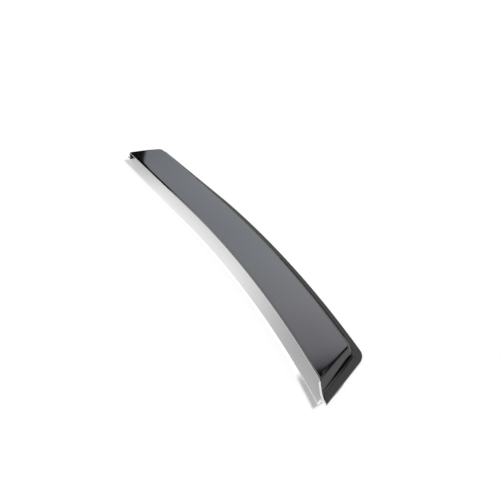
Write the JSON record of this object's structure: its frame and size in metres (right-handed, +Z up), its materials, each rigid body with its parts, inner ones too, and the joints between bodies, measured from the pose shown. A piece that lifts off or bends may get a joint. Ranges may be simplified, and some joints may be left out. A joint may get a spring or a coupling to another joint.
{
  "type": "window rain deflector",
  "caption": "Long curved smoke-black window rain deflector: a raised hollow cover with an open lower edge and a flat mounting flange along its window edge and both ends.",
  "frame": {"origin": "below the middle of the part, on the plane of the flange's underside", "axes": "+X from the front end to the rear end along the window edge, +Y from the free edge to the flange along the window edge, +Z up, away from the door"},
  "size_m": [0.6942, 0.103, 0.0204],
  "materials": {
    "dark_acrylic": "polished gloss"
  },
  "bodies": {
    "root": {"deflector": "dark_acrylic"}
  },
  "joints": []
}
